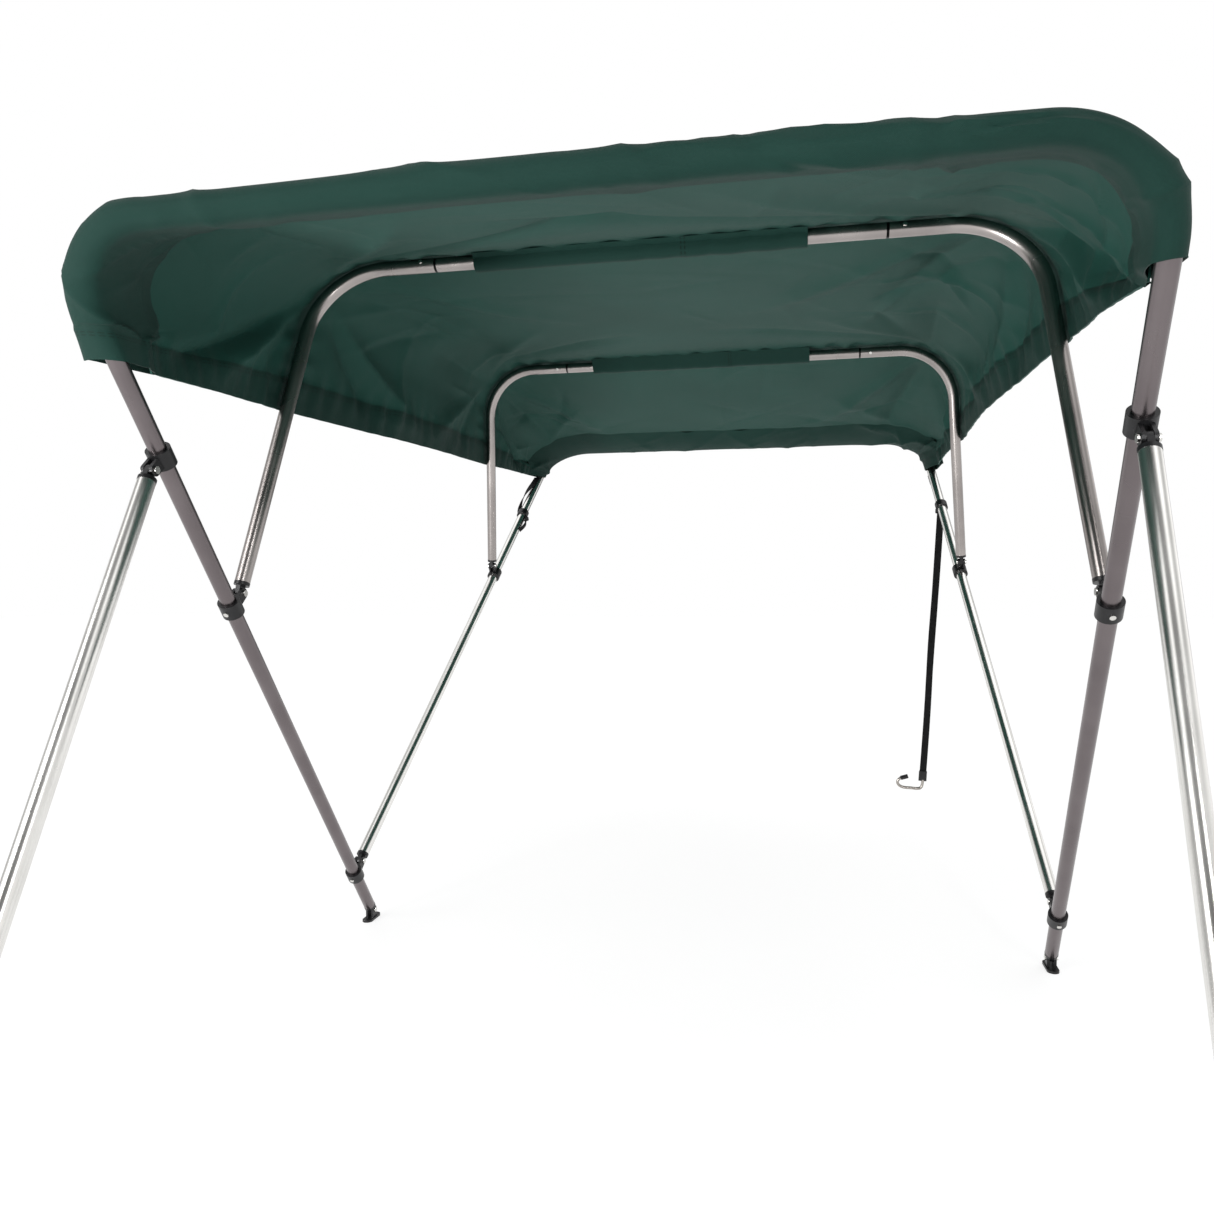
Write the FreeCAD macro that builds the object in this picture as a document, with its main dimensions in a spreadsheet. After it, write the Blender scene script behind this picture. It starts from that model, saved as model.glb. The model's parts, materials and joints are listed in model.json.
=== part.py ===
"""A four-bow folding bimini top for a boat, with two rear support poles.

The frame is round aluminium tube. Black nylon jaws clamp to the tubes and carry
the next bow's eye end on a bolt. The fabric canopy is sleeved over the outer bows.

X runs across the boat, Y runs forward and Z runs up. The origin is on the deck,
midway between the two main deck hinges. All sizes are in millimetres.
"""
import FreeCAD
import Part
import Sketcher
import math
import os
from FreeCAD import Placement, Rotation, Vector

DRIVING = {
    # frame
    "mount_half": 750.0,          # half the distance between the main deck hinges
    "pin_height": 22.0,           # deck to every deck hinge pin
    "tube_outer": 12.7,           # radius of one inch tube
    "tube_bore": 11.2,
    "spigot_outer": 11.1,         # swaged end of each crossbar
    "spigot_bore": 9.9,
    "spigot_length": 45.0,
    "bend_radius": 140.0,
    "top_half": 618.0,            # half width of every bow at its crossbar
    # bows: lean from the vertical (forward is positive), pivot to crossbar
    "main_lean": -41.5,
    "main_length": 1629.0,
    "front_lean": 49.9,
    "front_length": 1675.0,
    "rear_inner_lean": 19.5,
    "rear_inner_length": 623.0,
    "front_inner_lean": -14.2,
    "front_inner_length": 562.0,
    "joint_half": 392.0,          # centre line to the joint in each crossbar
    # jaw slides: distance up their tube, and pivot offset from the tube axis
    "front_jaw_at": 159.0,
    "rear_inner_jaw_at": 992.0,
    "pole_jaw_at": 1292.0,
    "front_inner_jaw_at": 1004.0,
    "pivot_offset": 33.0,
    "jaw_radius": 18.0,
    "jaw_length": 28.0,
    "jaw_bore": 12.75,
    "ear_gap": 8.6,
    "ear_thickness": 5.0,
    "ear_radius": 9.0,
    # eye ends, bolts and pins
    "eye_thickness": 8.0,
    "eye_bore": 3.15,
    "bolt_radius": 3.1,
    "flange_start": 14.0,
    "flange_end": 20.0,
    "flange_radius": 13.0,
    "plug_length": 22.0,
    "screw_radius": 2.4,
    # deck hinges
    "base_length": 62.0,
    "base_width": 24.0,
    "base_height": 5.0,
    "base_hole_spacing": 44.0,
    "base_hole": 2.6,
    # support poles
    "pole_lean": 30.1,
    "pole_foot_inset": 50.0,
    # snap buttons
    "button_radius": 3.9,
    "button_from_joint": 27.0,
    "button_proud": 1.5,
    # fabric
    "fabric_offset": 19.6,
    "fabric_thickness": 1.6,
    "sleeve_inner": 13.1,
    "sleeve_outer": 14.9,
    "pocket_left": 317.0,
    "pocket_right": 264.0,
    "hem_main": 1125.0,           # height of the canopy's lower edge at each bow
    "hem_inner": 1147.0,
    "hem_front": 1118.0,
    # straps
    "web_width": 20.0,
    "web_thickness": 2.0,
    "strap_slide_at": 1302.0,
    "slide_radius": 17.0,
    "slide_length": 22.0,
    "strap_start": 25.5,          # tube axis to the start of the webbing
    "strap_length": 786.0,
    "strap_forward": 3.025,       # lean of the hanging strap, degrees
    "strap_inward": 3.0,
    "ferrule_width": 24.0,
    "ferrule_length": 30.0,
    "hook_width": 12.0,
    "hook_thickness": 4.0,
    "tab_length": 168.0,          # webbing from the slide up to the canopy corner
    "tail_length": 72.0,
}

doc = FreeCAD.newDocument("bimini_top")
sheet = doc.addObject("Spreadsheet::Sheet", "Sizes")
for row, (name, value) in enumerate(DRIVING.items(), start=1):
    sheet.set(f"A{row}", name)
    sheet.set(f"B{row}", str(value))
    sheet.setAlias(f"B{row}", name)
doc.recompute()

X_AXIS = Vector(1, 0, 0)
Y_AXIS = Vector(0, 1, 0)
Z_AXIS = Vector(0, 0, 1)
SIDES = (("left", -1), ("right", 1))
PARTS = []


def size(name):
    """One driving dimension, read from the spreadsheet."""
    return float(sheet.get(name))


def keep(obj, label):
    """Mark an object as a sub-part that is written to its own file."""
    obj.Label = label
    PARTS.append(obj)
    return obj


class Bow:
    """A bow or leg that starts at a pivot and lies in a plane through the X direction."""

    def __init__(self, pivot_y, pivot_z, lean, length, half_base, half_top):
        self.pivot = Vector(0, pivot_y, pivot_z)
        self.lean = lean
        self.length = length
        self.half_base = half_base
        self.half_top = half_top
        self.splay = math.degrees(math.atan2(half_base - half_top, length))
        self.turn = Rotation(X_AXIS, -lean)

    def half(self, along):
        """Half width of the legs at a distance from the pivot."""
        return self.half_base + (self.half_top - self.half_base) * along / self.length

    def point(self, side, along, forward=0.0):
        """A point on a leg's axis, moved square to the bow's plane by forward."""
        local = Vector(side * self.half(along), forward, along)
        return self.pivot + self.turn.multVec(local)

    def frame(self):
        """Placement that stands the bow's own XZ plane in the boat."""
        return Placement(self.pivot, self.turn)

    def leg_frame(self, side, along, forward=0.0):
        """Placement at a point of one leg, square to the bow's plane and not splayed."""
        return Placement(self.point(side, along, forward), self.turn)


OFFSET = size("pivot_offset")
main = Bow(0, size("pin_height"), size("main_lean"), size("main_length"), size("mount_half"),
           size("top_half"))


def bow_on(parent, along, forward, lean, length):
    """A bow whose pivot stands off a leg of its parent bow."""
    pivot = parent.point(1, along, forward)
    return Bow(pivot.y, pivot.z, lean, length, pivot.x, size("top_half"))


front = bow_on(main, size("front_jaw_at"), OFFSET, size("front_lean"), size("front_length"))
rear_inner = bow_on(main, size("rear_inner_jaw_at"), OFFSET, size("rear_inner_lean"),
                    size("rear_inner_length"))
front_inner = bow_on(front, size("front_inner_jaw_at"), -OFFSET, size("front_inner_lean"),
                     size("front_inner_length"))


def support_pole():
    """The leg from the rear jaw on the main bow down to its own deck hinge."""
    top = main.point(1, size("pole_jaw_at"), -OFFSET)
    length = (top.z - size("pin_height")) / math.cos(math.radians(size("pole_lean")))
    foot_y = top.y - length * math.sin(math.radians(size("pole_lean")))
    foot_half = top.x - size("pole_foot_inset")
    return Bow(foot_y, size("pin_height"), size("pole_lean"), length, foot_half, top.x)


pole = support_pole()


# ---------------------------------------------------------------- primitives

def cylinder(radius, height, position, axis=Z_AXIS):
    """A cylinder whose sizes are expressions, standing on position along axis."""
    obj = doc.addObject("Part::Cylinder", "Cylinder")
    obj.setExpression("Radius", radius)
    obj.setExpression("Height", height)
    obj.Placement = Placement(position, Rotation(Z_AXIS, axis))
    return obj


def box(length, width, height, position):
    """A box with a corner at position."""
    obj = doc.addObject("Part::Box", "Box")
    obj.setExpression("Length", length)
    obj.setExpression("Width", width)
    obj.setExpression("Height", height)
    obj.Placement = Placement(position, Rotation())
    return obj


def fuse(*shapes):
    obj = doc.addObject("Part::MultiFuse", "Fuse")
    obj.Shapes = list(shapes)
    return obj


def cut(base, tool):
    obj = doc.addObject("Part::Cut", "Cut")
    obj.Base = base
    obj.Tool = tool
    return obj


def compound(*shapes):
    obj = doc.addObject("Part::Compound", "Group")
    obj.Links = list(shapes)
    return obj


def rounded(obj, radius, keep_edge):
    """Fillet the edges of obj that keep_edge accepts."""
    doc.recompute()
    fillet = doc.addObject("Part::Fillet", "Fillet")
    fillet.Base = obj
    chosen = [n for n, edge in enumerate(obj.Shape.Edges, start=1) if keep_edge(edge)]
    fillet.Edges = [(n, radius, radius) for n in chosen]
    return fillet


def is_circle(edge):
    return isinstance(edge.Curve, Part.Circle)


# ---------------------------------------------------------------- bent tubes

def plane_of(body, role):
    return next(f for f in body.Origin.OriginFeatures if f.Role == role)


def new_sketch(body, name, role):
    sketch = body.newObject("Sketcher::SketchObject", name)
    sketch.AttachmentSupport = [(plane_of(body, role), "")]
    sketch.MapMode = "FlatFace"
    return sketch


def bind(sketch, constraint, expression):
    """Add a constraint and tie its value to the spreadsheet."""
    index = sketch.addConstraint(Sketcher.Constraint(*constraint))
    if expression:
        sketch.setExpression(f"Constraints[{index}]", expression)


def path_sketch(body, bow, length_cell):
    """Half of a bow's centre line: crossbar, bend and leg, in the bow's XZ plane."""
    sketch = new_sketch(body, "Path", "XZ_Plane")
    splay = math.radians(bow.splay)
    radius = size("bend_radius")
    tangent = radius * math.tan((math.pi / 2 - splay) / 2)
    joint = Vector(size("joint_half"), bow.length, 0)
    bend_in = Vector(bow.half_top - tangent, bow.length, 0)
    bend_out = Vector(bow.half_top + tangent * math.sin(splay), bow.length - tangent * math.cos(splay), 0)
    seat = size("flange_end")
    leg_end = Vector(bow.half_base - seat * math.sin(splay), seat * math.cos(splay), 0)
    centre = Vector(bend_in.x, bow.length - radius, 0)
    bar = sketch.addGeometry(Part.LineSegment(joint, bend_in), False)
    circle = Part.Circle(centre, Z_AXIS, radius)
    bend = sketch.addGeometry(Part.ArcOfCircle(circle, splay, math.pi / 2), False)
    leg = sketch.addGeometry(Part.LineSegment(bend_out, leg_end), False)
    bind(sketch, ("Horizontal", bar), "")
    bind(sketch, ("Tangent", bar, 2, bend, 2), "")
    bind(sketch, ("Tangent", bend, 1, leg, 1), "")
    bind(sketch, ("DistanceX", -1, 1, bar, 1, joint.x), "Sizes.joint_half")
    bind(sketch, ("DistanceY", -1, 1, bar, 1, joint.y), f"Sizes.{length_cell}")
    bind(sketch, ("Radius", bend, radius), "Sizes.bend_radius")
    bind(sketch, ("DistanceX", -1, 1, leg, 2, leg_end.x), "")
    bind(sketch, ("DistanceY", -1, 1, leg, 2, leg_end.y), "")
    bind(sketch, ("Angle", leg, math.atan2(leg_end.y - bend_out.y, leg_end.x - bend_out.x)), "")
    return sketch


def ring_sketch(body, length_cell):
    """The tube's section at the joint in the crossbar, square to the crossbar."""
    sketch = new_sketch(body, "Section", "YZ_Plane")
    sketch.AttachmentOffset = Placement(Vector(0, 0, size("joint_half")), Rotation())
    sketch.setExpression("AttachmentOffset.Base.z", "Sizes.joint_half")
    centre = Vector(0, size(length_cell), 0)
    for cell in ("tube_outer", "tube_bore"):
        ring = sketch.addGeometry(Part.Circle(centre, Z_AXIS, size(cell)), False)
        bind(sketch, ("PointOnObject", ring, 3, -2), "")
        bind(sketch, ("DistanceY", -1, 1, ring, 3, centre.y), f"Sizes.{length_cell}")
        bind(sketch, ("Radius", ring, size(cell)), f"Sizes.{cell}")
    return sketch


def button_pocket(body, length_cell, side):
    """Round hole for a snap button, through the wall that faces the rear of the boat."""
    sketch = new_sketch(body, "ButtonHole", "XZ_Plane")
    centre = Vector(size("joint_half") + size("button_from_joint"), size(length_cell), 0)
    radius = size("button_radius") + 0.1
    hole = sketch.addGeometry(Part.Circle(centre, Z_AXIS, radius), False)
    bind(sketch, ("DistanceX", -1, 1, hole, 3, centre.x), "Sizes.joint_half + Sizes.button_from_joint")
    bind(sketch, ("DistanceY", -1, 1, hole, 3, centre.y), f"Sizes.{length_cell}")
    bind(sketch, ("Radius", hole, radius), "Sizes.button_radius + 0.1")
    before = body.Shape.Volume
    pocket = body.newObject("PartDesign::Pocket", "ButtonPocket")
    pocket.Profile = sketch
    pocket.Type = "Length"
    pocket.Length = 20
    pocket.Reversed = side > 0
    doc.recompute()
    removed = before - body.Shape.Volume
    assert 40 < removed < 120, f"the button pocket removed {removed:.1f} mm3"


def side_tube(label, bow, length_cell, side, has_button):
    """One bent side tube of a bow, from its eye end to the joint in the crossbar."""
    body = doc.addObject("PartDesign::Body", "Body")
    spine = path_sketch(body, bow, length_cell)
    section = ring_sketch(body, length_cell)
    pipe = body.newObject("PartDesign::AdditivePipe", "Pipe")
    pipe.Profile = section
    pipe.Spine = spine
    doc.recompute()
    if has_button:
        button_pocket(body, length_cell, side)
    body.Placement = bow.frame()
    if side < 0:
        # the left tube is the same bend turned half round about the bow's upright
        body.Placement = bow.frame().multiply(Placement(Vector(), Rotation(Z_AXIS, 180)))
    return keep(body, label)


def crossbar(label, bow, has_button):
    """Centre tube of a bow with a swaged spigot at each end."""
    gap = 0.2
    half = size("joint_half") - gap
    spigot = size("spigot_length")
    middle = bow.frame().multVec(Vector(0, 0, bow.length))
    outer = cylinder("Sizes.tube_outer", f"2 * (Sizes.joint_half - {gap})", middle - X_AXIS * half, X_AXIS)
    reach = f"2 * (Sizes.joint_half + Sizes.spigot_length - {gap})"
    ends = cylinder("Sizes.spigot_outer", reach, middle - X_AXIS * (half + spigot), X_AXIS)
    bore = cylinder("Sizes.spigot_bore", f"{reach} + 4", middle - X_AXIS * (half + spigot + 2), X_AXIS)
    bar = cut(fuse(outer, ends), bore)
    if has_button:
        rear = bow.turn.multVec(Vector(0, -1, 0))
        at = size("joint_half") + size("button_from_joint")
        holes = []
        for _, side in SIDES:
            place = middle + X_AXIS * side * at
            holes.append(cylinder("Sizes.button_radius + 0.1", "20 mm", place, rear))
        bar = cut(bar, fuse(*holes))
    return keep(bar, label)


def snap_button(label, bow, side):
    """Sprung button that locks a side tube to the crossbar: a round pin with a foot inside."""
    rear = bow.turn.multVec(Vector(0, -1, 0))
    at = side * (size("joint_half") + size("button_from_joint"))
    centre = bow.frame().multVec(Vector(at, 0, bow.length))
    foot = size("spigot_bore") - 3.4
    reach = size("tube_outer") + size("button_proud") - foot
    pin = cylinder("Sizes.button_radius", f"{reach}", centre + rear * foot, rear)
    flange = cylinder("Sizes.button_radius + 1", "1.6 mm", centre + rear * foot, rear)
    whole = fuse(pin, flange)
    tip = centre + rear * (foot + reach)
    domed = rounded(whole, 1.2, lambda e: is_circle(e) and e.Curve.Center.distanceToPoint(tip) < 0.1)
    return keep(domed, label)


# ---------------------------------------------------------------- joints of the frame

def splayed(bow, side, along, forward=0.0):
    """Placement on a leg with Z running up the leg itself."""
    lean_in = Rotation(Y_AXIS, -side * bow.splay)
    return bow.leg_frame(side, along, forward).multiply(Placement(Vector(), lean_in))


def placed_cylinder(radius, height, frame, position, axis=Z_AXIS):
    """A cylinder given in a local frame."""
    return cylinder(radius, height, frame.multVec(position), frame.Rotation.multVec(axis))


def placed_box(length, width, height, frame, position):
    obj = box(length, width, height, Vector())
    obj.Placement = frame.multiply(Placement(position, Rotation()))
    return obj


def along_x(frame, offset):
    return frame.multVec(Vector(offset, 0, 0))


def eye_end(bow, side, at_top=False):
    """Black end fitting: plug in the tube, flange, and a flat tongue with a bolt hole."""
    if at_top:
        pivot = bow.leg_frame(side, bow.length)
        flip = Placement(Vector(), Rotation(X_AXIS, 180))
        pivot = pivot.multiply(flip)
        tilt = Rotation(Y_AXIS, side * bow.splay)
    else:
        pivot = bow.leg_frame(side, 0)
        tilt = Rotation(Y_AXIS, -side * bow.splay)
    shaft = pivot.multiply(Placement(Vector(), tilt))
    start = size("flange_start")
    seat = size("flange_end")
    thick = size("eye_thickness")
    round_end = placed_cylinder("8 mm", "Sizes.eye_thickness", pivot, Vector(-thick / 2, 0, 0), X_AXIS)
    tongue = placed_box("Sizes.eye_thickness", "16 mm", "Sizes.flange_start + 1", pivot,
                        Vector(-thick / 2, -8, 0))
    flange = placed_cylinder("Sizes.flange_radius", "Sizes.flange_end - Sizes.flange_start", shaft,
                             Z_AXIS * start)
    plug = placed_cylinder("Sizes.spigot_outer", "Sizes.plug_length", shaft, Z_AXIS * (seat - 0.5))
    hole = placed_cylinder("Sizes.eye_bore", "20 mm", pivot, Vector(-10, 0, 0), X_AXIS)
    return cut(fuse(round_end, tongue, flange, plug), hole)


def jaw(label, bow, side, along, toward, has_screw):
    """Clamp ring on a tube, with two ears that hold an eye end on a bolt."""
    ring_frame = splayed(bow, side, along)
    pivot = bow.leg_frame(side, along, toward * OFFSET)
    length = size("jaw_length")
    gap = size("ear_gap")
    thick = size("ear_thickness")
    radius = size("ear_radius")
    ring = placed_cylinder("Sizes.jaw_radius", "Sizes.jaw_length", ring_frame, Z_AXIS * (-length / 2))
    solids = [ring]
    for _, ear in SIDES:
        low = gap / 2 if ear > 0 else -gap / 2 - thick
        ear = placed_cylinder("Sizes.ear_radius", "Sizes.ear_thickness", pivot, Vector(low, 0, 0), X_AXIS)
        solids.append(ear)
        start = -OFFSET + 12 if toward > 0 else 0
        corner = Vector(low, start, -radius)
        solids.append(placed_box("Sizes.ear_thickness", "Sizes.pivot_offset - 12", "2 * Sizes.ear_radius",
                                 pivot, corner))
    tools = [
        placed_cylinder("Sizes.jaw_bore", "Sizes.jaw_length + 20", ring_frame, Z_AXIS * (-length / 2 - 10)),
        placed_cylinder("Sizes.eye_bore", "40 mm", pivot, Vector(-20, 0, 0), X_AXIS),
    ]
    if has_screw:
        tools.append(placed_cylinder("Sizes.screw_radius + 0.1", "30 mm", ring_frame, Vector(),
                                     Y_AXIS * -toward))
    return keep(cut(fuse(*solids), fuse(*tools)), label)


def jaw_screw(bow, side, along, toward):
    """Domed set screw on the ring, opposite the ears."""
    frame = splayed(bow, side, along)
    away = Y_AXIS * -toward
    stem = placed_cylinder("Sizes.screw_radius", "7 mm", frame, away * 13.0, away)
    head = placed_cylinder("4.2 mm", "2 mm", frame, away * (size("jaw_radius") + 0.1), away)
    return fuse(stem, head)


def cross_bolt(frame, side):
    """Bolt or hinge pin through a pair of ears, with its round head toward the centre line."""
    reach = size("ear_gap") / 2 + size("ear_thickness")
    shaft = placed_cylinder("Sizes.bolt_radius", f"{2 * reach + 5} mm", frame,
                            Vector(-reach - 2.5, 0, 0), X_AXIS)
    head_at = reach + 0.1 if side < 0 else -reach - 3.1
    nut_at = -reach - 4.1 if side < 0 else reach + 0.1
    head = placed_cylinder("5.5 mm", "3 mm", frame, Vector(head_at, 0, 0), X_AXIS)
    nut = placed_cylinder("5 mm", "4 mm", frame, Vector(nut_at, 0, 0), X_AXIS)
    return fuse(shaft, head, nut)


def deck_hinge(label, bow, side):
    """Black deck fitting: rounded base with two screw holes and two ears for the pin."""
    pin = bow.point(side, 0)
    half = size("base_length") / 2 - size("base_width") / 2
    foot = Vector(pin.x, pin.y, 0)
    gap = size("ear_gap")
    thick = size("ear_thickness")
    radius = size("ear_radius")
    solids = [box("Sizes.base_width", "Sizes.base_length - Sizes.base_width", "Sizes.base_height",
                  foot + Vector(-size("base_width") / 2, -half, 0))]
    for _, end in SIDES:
        solids.append(cylinder("Sizes.base_width / 2", "Sizes.base_height", foot + Vector(0, end * half, 0)))
        low = gap / 2 if end > 0 else -gap / 2 - thick
        solids.append(cylinder("Sizes.ear_radius", "Sizes.ear_thickness", pin + Vector(low, 0, 0), X_AXIS))
        corner = foot + Vector(low, -radius, 0)
        solids.append(box("Sizes.ear_thickness", "2 * Sizes.ear_radius", "Sizes.pin_height", corner))
    tools = [cylinder("Sizes.eye_bore", "40 mm", pin - X_AXIS * 20, X_AXIS)]
    for _, end in SIDES:
        hole = foot + Vector(0, end * size("base_hole_spacing") / 2, -1)
        tools.append(cylinder("Sizes.base_hole", "Sizes.base_height + 2", hole))
    return keep(cut(fuse(*solids), fuse(*tools)), label)


# ---------------------------------------------------------------- canopy

def hem_along(bow, height):
    """Distance up a bow at which its leg passes a height above the deck."""
    return (height - bow.pivot.z) / math.cos(math.radians(bow.lean))


def outline(bow, offset, hem, forward):
    """Points of a curve outside a bow: hem, bend, crossbar, bend, hem, in boat coordinates.

    Each side gives a straight run, then a three point arc.
    """
    radius = size("bend_radius")
    splay = math.radians(bow.splay)
    tangent = radius * math.tan((math.pi / 2 - splay) / 2)
    centre_x = bow.half_top - tangent
    centre_z = bow.length - radius
    reach = radius + offset
    low = hem_along(bow, hem)

    def at(angle):
        return (centre_x + reach * math.cos(angle), centre_z + reach * math.sin(angle))

    start = at(splay)
    middle = at((math.pi / 2 + splay) / 2)
    end = at(math.pi / 2)
    foot = (start[0] + (start[1] - low) * math.tan(splay), low)
    half = [foot, start, middle, end]
    local = [(-x, z) for x, z in half] + [(x, z) for x, z in reversed(half)]
    return [bow.frame().multVec(Vector(x, forward, z)) for x, z in local]


def middle_outline(first, second, y):
    """Curve midway between two others, laid in one upright plane across the boat."""
    points = [(a + b) * 0.5 for a, b in zip(first, second)]
    return [Vector(p.x, y, p.z) for p in points]


def band(inner, outer):
    """Closed wire between an inner and an outer curve."""
    def run(points):
        foot_a, start_a, mid_a, end_a, end_b, mid_b, start_b, foot_b = points
        return [
            Part.LineSegment(foot_a, start_a),
            Part.Arc(start_a, mid_a, end_a),
            Part.LineSegment(end_a, end_b),
            Part.Arc(end_b, mid_b, start_b),
            Part.LineSegment(start_b, foot_b),
        ]
    edges = [c.toShape() for c in run(outer)]
    edges.append(Part.LineSegment(outer[-1], inner[-1]).toShape())
    edges.extend(c.toShape() for c in run(inner[::-1]))
    edges.append(Part.LineSegment(inner[0], outer[0]).toShape())
    return Part.Wire(edges)


def wire_object(wire):
    obj = doc.addObject("Part::Feature", "Outline")
    obj.Shape = wire
    return obj


def panel(label, first, second):
    """Fabric between two outlines, each given as an inner and an outer curve."""
    loft = doc.addObject("Part::Loft", "Loft")
    loft.Sections = [wire_object(band(*first)), wire_object(band(*second))]
    loft.Solid = True
    loft.Ruled = True
    return keep(loft, label)


def fabric_at(bow, hem_cell, forward):
    """Inner and outer fabric curves at a bow."""
    inner = size("fabric_offset")
    outer = inner + size("fabric_thickness")
    return [outline(bow, o, size(hem_cell), forward) for o in (inner, outer)]


def shifted(curves, dy):
    return [[p + Vector(0, dy, 0) for p in curve] for curve in curves]


def sleeve(label, bow, hem_cell):
    """Tube of cloth sewn round an outer bow, from hem to hem."""
    body = doc.addObject("PartDesign::Body", "Body")
    path = outline(bow, 0, size(hem_cell), 0)
    local = [bow.frame().inverse().multVec(p) for p in path]
    flat = [Vector(p.x, p.z, 0) for p in local]
    spine = new_sketch(body, "Path", "XZ_Plane")
    foot_a, start_a, _, end_a, end_b, _, start_b, foot_b = flat
    radius = size("bend_radius")
    splay = math.radians(bow.splay)
    left = Part.Circle(Vector(end_a.x, bow.length - radius, 0), Z_AXIS, radius)
    right = Part.Circle(Vector(end_b.x, bow.length - radius, 0), Z_AXIS, radius)
    spine.addGeometry(Part.LineSegment(foot_a, start_a), False)
    spine.addGeometry(Part.ArcOfCircle(left, math.pi / 2, math.pi - splay), False)
    spine.addGeometry(Part.LineSegment(end_a, end_b), False)
    spine.addGeometry(Part.ArcOfCircle(right, splay, math.pi / 2), False)
    spine.addGeometry(Part.LineSegment(start_b, foot_b), False)
    section = new_sketch(body, "Section", "YZ_Plane")
    for cell in ("sleeve_outer", "sleeve_inner"):
        ring = section.addGeometry(Part.Circle(Vector(0, bow.length, 0), Z_AXIS, size(cell)), False)
        bind(section, ("Radius", ring, size(cell)), f"Sizes.{cell}")
    doc.recompute()
    pipe = body.newObject("PartDesign::AdditivePipe", "Pipe")
    pipe.Profile = section
    pipe.Spine = spine
    body.Placement = bow.frame()
    return keep(body, label)


def pocket(label, bow):
    """Cloth tunnel under the canopy that carries the middle of an inner bow."""
    left = bow.frame().multVec(Vector(-size("pocket_left"), 0, bow.length))
    reach = "Sizes.pocket_left + Sizes.pocket_right"
    outer = cylinder("Sizes.sleeve_outer", reach, left, X_AXIS)
    bore = cylinder("Sizes.sleeve_inner", f"{reach} + 4", left - X_AXIS * 2, X_AXIS)
    return keep(cut(outer, bore), label)


# ---------------------------------------------------------------- straps

def strap_slide(label, side):
    """Ring on the front bow with a slotted lug that takes the webbing."""
    frame = splayed(front, side, size("strap_slide_at"))
    length = size("slide_length")
    ring = placed_cylinder("Sizes.slide_radius", "Sizes.slide_length", frame, Z_AXIS * (-length / 2))
    lug = placed_box("30 mm", "11 mm", "8 mm", frame, Vector(-15, 12.5, -4))
    bore = placed_cylinder("Sizes.jaw_bore", "Sizes.slide_length + 4", frame, Z_AXIS * (-length / 2 - 2))
    slot = placed_box("25.6 mm", "3 mm", "12 mm", frame, Vector(-12.8, 17.5, -6))
    return keep(cut(fuse(ring, lug), fuse(bore, slot)), label)


def strap_frame():
    """Frame of the right strap as it hangs: Z runs down the strap, X across its width."""
    start = front.point(1, size("strap_slide_at"), size("strap_start"))
    down = Rotation(X_AXIS, 180 + size("strap_forward"))
    inward = Rotation(Y_AXIS, -size("strap_inward"))
    return Placement(start, down.multiply(inward))


def corner_tab(side):
    """Webbing that ties the canopy corner to the strap slide, along the tube."""
    frame = splayed(front, side, size("strap_slide_at"))
    start = size("slide_length") / 2 + 0.4
    return placed_box("Sizes.web_width", "Sizes.web_thickness", "Sizes.tab_length", frame,
                      Vector(-size("web_width") / 2, 15.3, start))


def bar_chain(frame, points, width, thickness):
    """Flat bar bent through a list of points, lying in the frame's XZ plane."""
    solids = []
    for (xa, za), (xb, zb) in zip(points, points[1:]):
        a = Vector(xa, -width / 2, za)
        run = Vector(xb - xa, 0, zb - za)
        turn = Rotation(Y_AXIS, math.degrees(math.atan2(run.x, run.z)))
        segment = box(f"{thickness} mm", f"{width} mm", f"{run.Length} mm", Vector())
        segment.Placement = frame.multiply(Placement(a, turn)).multiply(
            Placement(Vector(-thickness / 2, 0, 0), Rotation()))
        solids.append(segment)
    for x, z in points[1:-1]:
        solids.append(placed_cylinder(f"{thickness / 2} mm", f"{width} mm", frame,
                                      Vector(x, -width / 2, z), Y_AXIS))
    return solids


def hook(label):
    """Strap hook: black ferrule at the end of the webbing and a flat steel J."""
    frame = strap_frame()
    end = size("strap_length") + 0.4
    ferrule = placed_box("Sizes.ferrule_width", "9 mm", "Sizes.ferrule_length", frame,
                         Vector(-size("ferrule_width") / 2, -4.5, end))
    low = end + size("ferrule_length")
    j_shape = [(1, -4), (0, 10), (-9, 23), (-48, 25), (-64, 19), (-71, 8), (-63, -3), (-42, -11)]
    j_shape = [(x, low + z) for x, z in j_shape]
    bars = bar_chain(frame, j_shape, size("hook_width"), size("hook_thickness"))
    return keep(fuse(ferrule, *bars), label)


def left_tail(label):
    """Stowed end of the left strap, bowed close to the inner side of the tube."""
    frame = splayed(front, -1, size("strap_slide_at"))
    length = size("tail_length")
    rise = 9.0
    radius = (length * length / 4 + rise * rise) / (2 * rise)
    start = -size("slide_length") / 2 - 0.6
    centre = Vector(14.0 + rise - radius, -size("web_width") / 2, start - length / 2)
    thickness = size("web_thickness")
    outer = placed_cylinder(f"{radius + thickness} mm", "Sizes.web_width", frame, centre, Y_AXIS)
    inner = placed_cylinder(f"{radius} mm", "Sizes.web_width + 2", frame, centre - Y_AXIS, Y_AXIS)
    ring = cut(outer, inner)
    keep_box = placed_box("40 mm", "Sizes.web_width + 2", "Sizes.tail_length", frame,
                          Vector(13.2, -size("web_width") / 2 - 1, start - length))
    common = doc.addObject("Part::Common", "Common")
    common.Base = ring
    common.Tool = keep_box
    return keep(common, label)


# ---------------------------------------------------------------- build

BOWS = (
    ("main", main, "main_length", False),
    ("front", front, "front_length", False),
    ("rear_inner", rear_inner, "rear_inner_length", True),
    ("front_inner", front_inner, "front_inner_length", True),
)

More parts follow.
